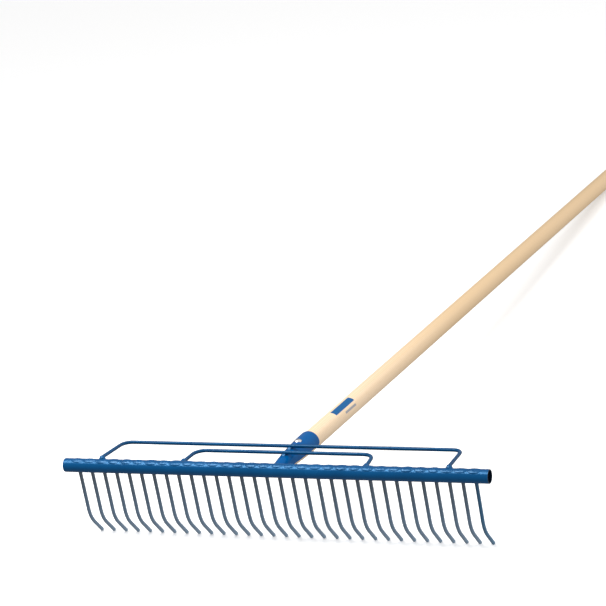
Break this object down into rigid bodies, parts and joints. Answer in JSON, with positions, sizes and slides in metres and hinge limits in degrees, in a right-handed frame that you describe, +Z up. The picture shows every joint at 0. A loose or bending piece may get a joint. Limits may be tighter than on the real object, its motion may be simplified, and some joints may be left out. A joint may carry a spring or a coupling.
{
  "type": "hay rake",
  "caption": "Wide hay rake: a steel tube head with a row of curved wire tines, two wire bows and a sheet socket that holds a long straight wooden handle.",
  "frame": {"origin": "middle of the footprint on the floor, with the tine tips and the handle's butt resting on it", "axes": "+X along the head tube, +Y from the head towards the handle's butt, +Z up"},
  "size_m": [0.68, 1.8736, 0.1414],
  "materials": {
    "painted_tube": "gloss blue enamel on steel pipe",
    "painted_wire": "gloss blue enamel on drawn wire",
    "painted_sheet": "gloss blue enamel on pressed sheet",
    "weld_metal": "blue enamel over weld beads",
    "tine_steel": "dark spring steel with a thin blue-grey coat",
    "ash_wood": "sanded pale ash",
    "zinc_steel": "bright zinc plate"
  },
  "bodies": {
    "root": {"head_tube": "painted_tube", "tine_01": "tine_steel", "tine_02": "tine_steel", "tine_03": "tine_steel", "tine_04": "tine_steel", "tine_05": "tine_steel", "tine_06": "tine_steel", "tine_07": "tine_steel", "tine_08": "tine_steel", "tine_09": "tine_steel", "tine_10": "tine_steel", "tine_11": "tine_steel", "tine_12": "tine_steel", "tine_13": "tine_steel", "tine_14": "tine_steel", "tine_15": "tine_steel", "tine_16": "tine_steel", "tine_17": "tine_steel", "tine_18": "tine_steel", "tine_19": "tine_steel", "tine_20": "tine_steel", "tine_21": "tine_steel", "tine_22": "tine_steel", "tine_23": "tine_steel", "tine_24": "tine_steel", "tine_25": "tine_steel", "tine_26": "tine_steel", "tine_27": "tine_steel", "tine_28": "tine_steel", "tine_29": "tine_steel", "tine_30": "tine_steel", "tine_31": "tine_steel", "tine_32": "tine_steel", "tine_welds": "weld_metal", "handle_socket": "painted_sheet", "socket_weld": "weld_metal", "handle": "ash_wood", "handle_screw": "zinc_steel", "large_bow": "painted_wire", "small_bow": "painted_wire", "large_bow_weld_left": "weld_metal", "large_bow_weld_right": "weld_metal", "large_bow_socket_weld": "weld_metal", "small_bow_weld_left": "weld_metal", "small_bow_weld_right": "weld_metal", "small_bow_socket_weld": "weld_metal"}
  },
  "joints": []
}
